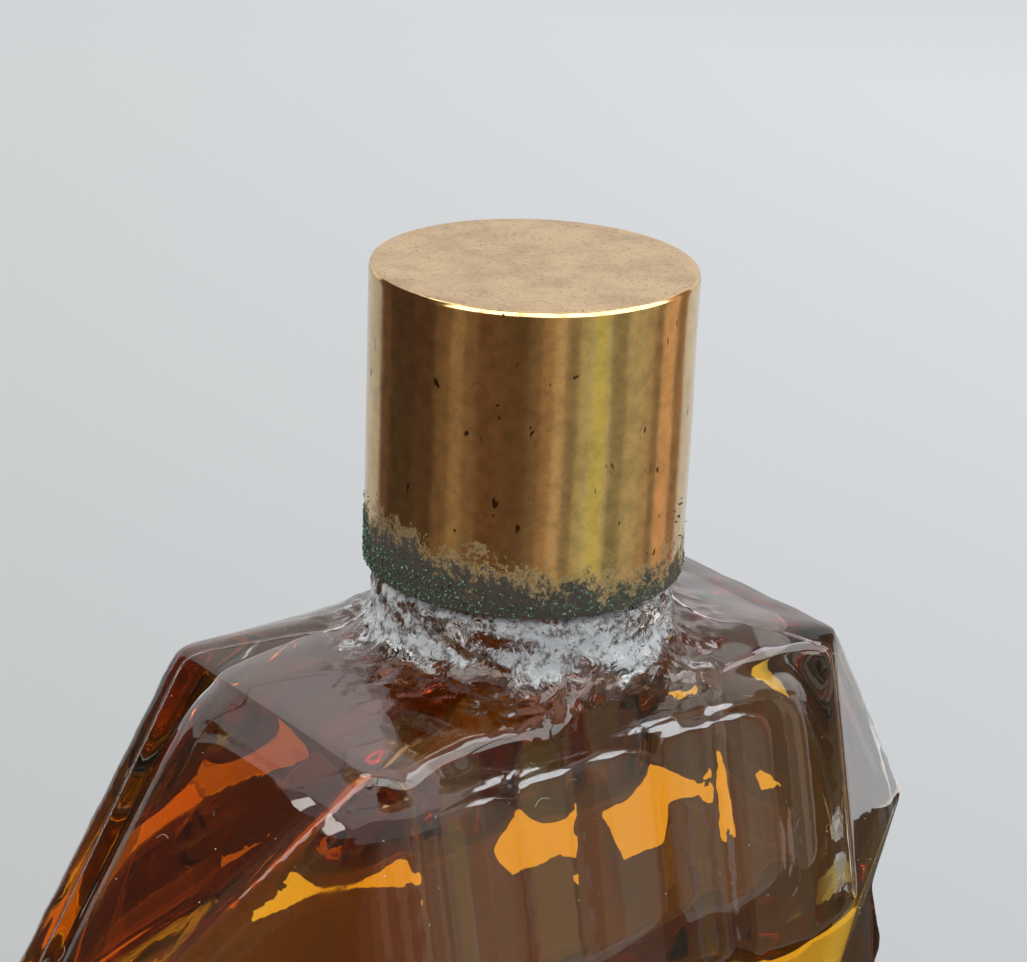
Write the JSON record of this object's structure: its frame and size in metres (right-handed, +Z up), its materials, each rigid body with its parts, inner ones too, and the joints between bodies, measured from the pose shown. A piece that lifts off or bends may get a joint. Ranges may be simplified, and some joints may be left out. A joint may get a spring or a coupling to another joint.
{
  "type": "glass oil bottle",
  "caption": "Faceted pressed-glass bottle with fluted panels and wing-shaped sides, filled with amber oil, closed by a round brass screw cap.",
  "frame": {"origin": "on the neck's axis, at the flat underside that the bottle stands on", "axes": "+Z up along the neck, +X to the right-hand wing, -Y towards the front fluted panel"},
  "size_m": [0.075, 0.032, 0.082],
  "materials": {
    "clear_glass": "polished",
    "amber_oil": "liquid",
    "aged_brass": "worn polish",
    "moulded_cup": "satin",
    "pulp_board": "matte",
    "seal_facing": "smooth"
  },
  "bodies": {
    "bottle": {"bottle": "clear_glass", "oil": "amber_oil"},
    "seal": {"liner_board": "pulp_board", "liner_facing": "seal_facing"},
    "cap": {"cap_shell": "aged_brass", "cap_insert": "moulded_cup"}
  },
  "joints": [
    {"name": "cap_lift", "type": "slide", "parent": "bottle", "child": "seal", "axis": [0, 0, 1], "range_m": [0, 0.00635]},
    {"name": "cap_turn", "type": "hinge", "parent": "seal", "child": "cap", "pos_m": [0, 0, 0.0725], "axis": [0, 0, 1], "range_deg": [0, 720]}
  ],
  "couplings": [
    {"joint": "cap_turn", "follows": "cap_lift", "rad_per_m": 1978.9}
  ]
}
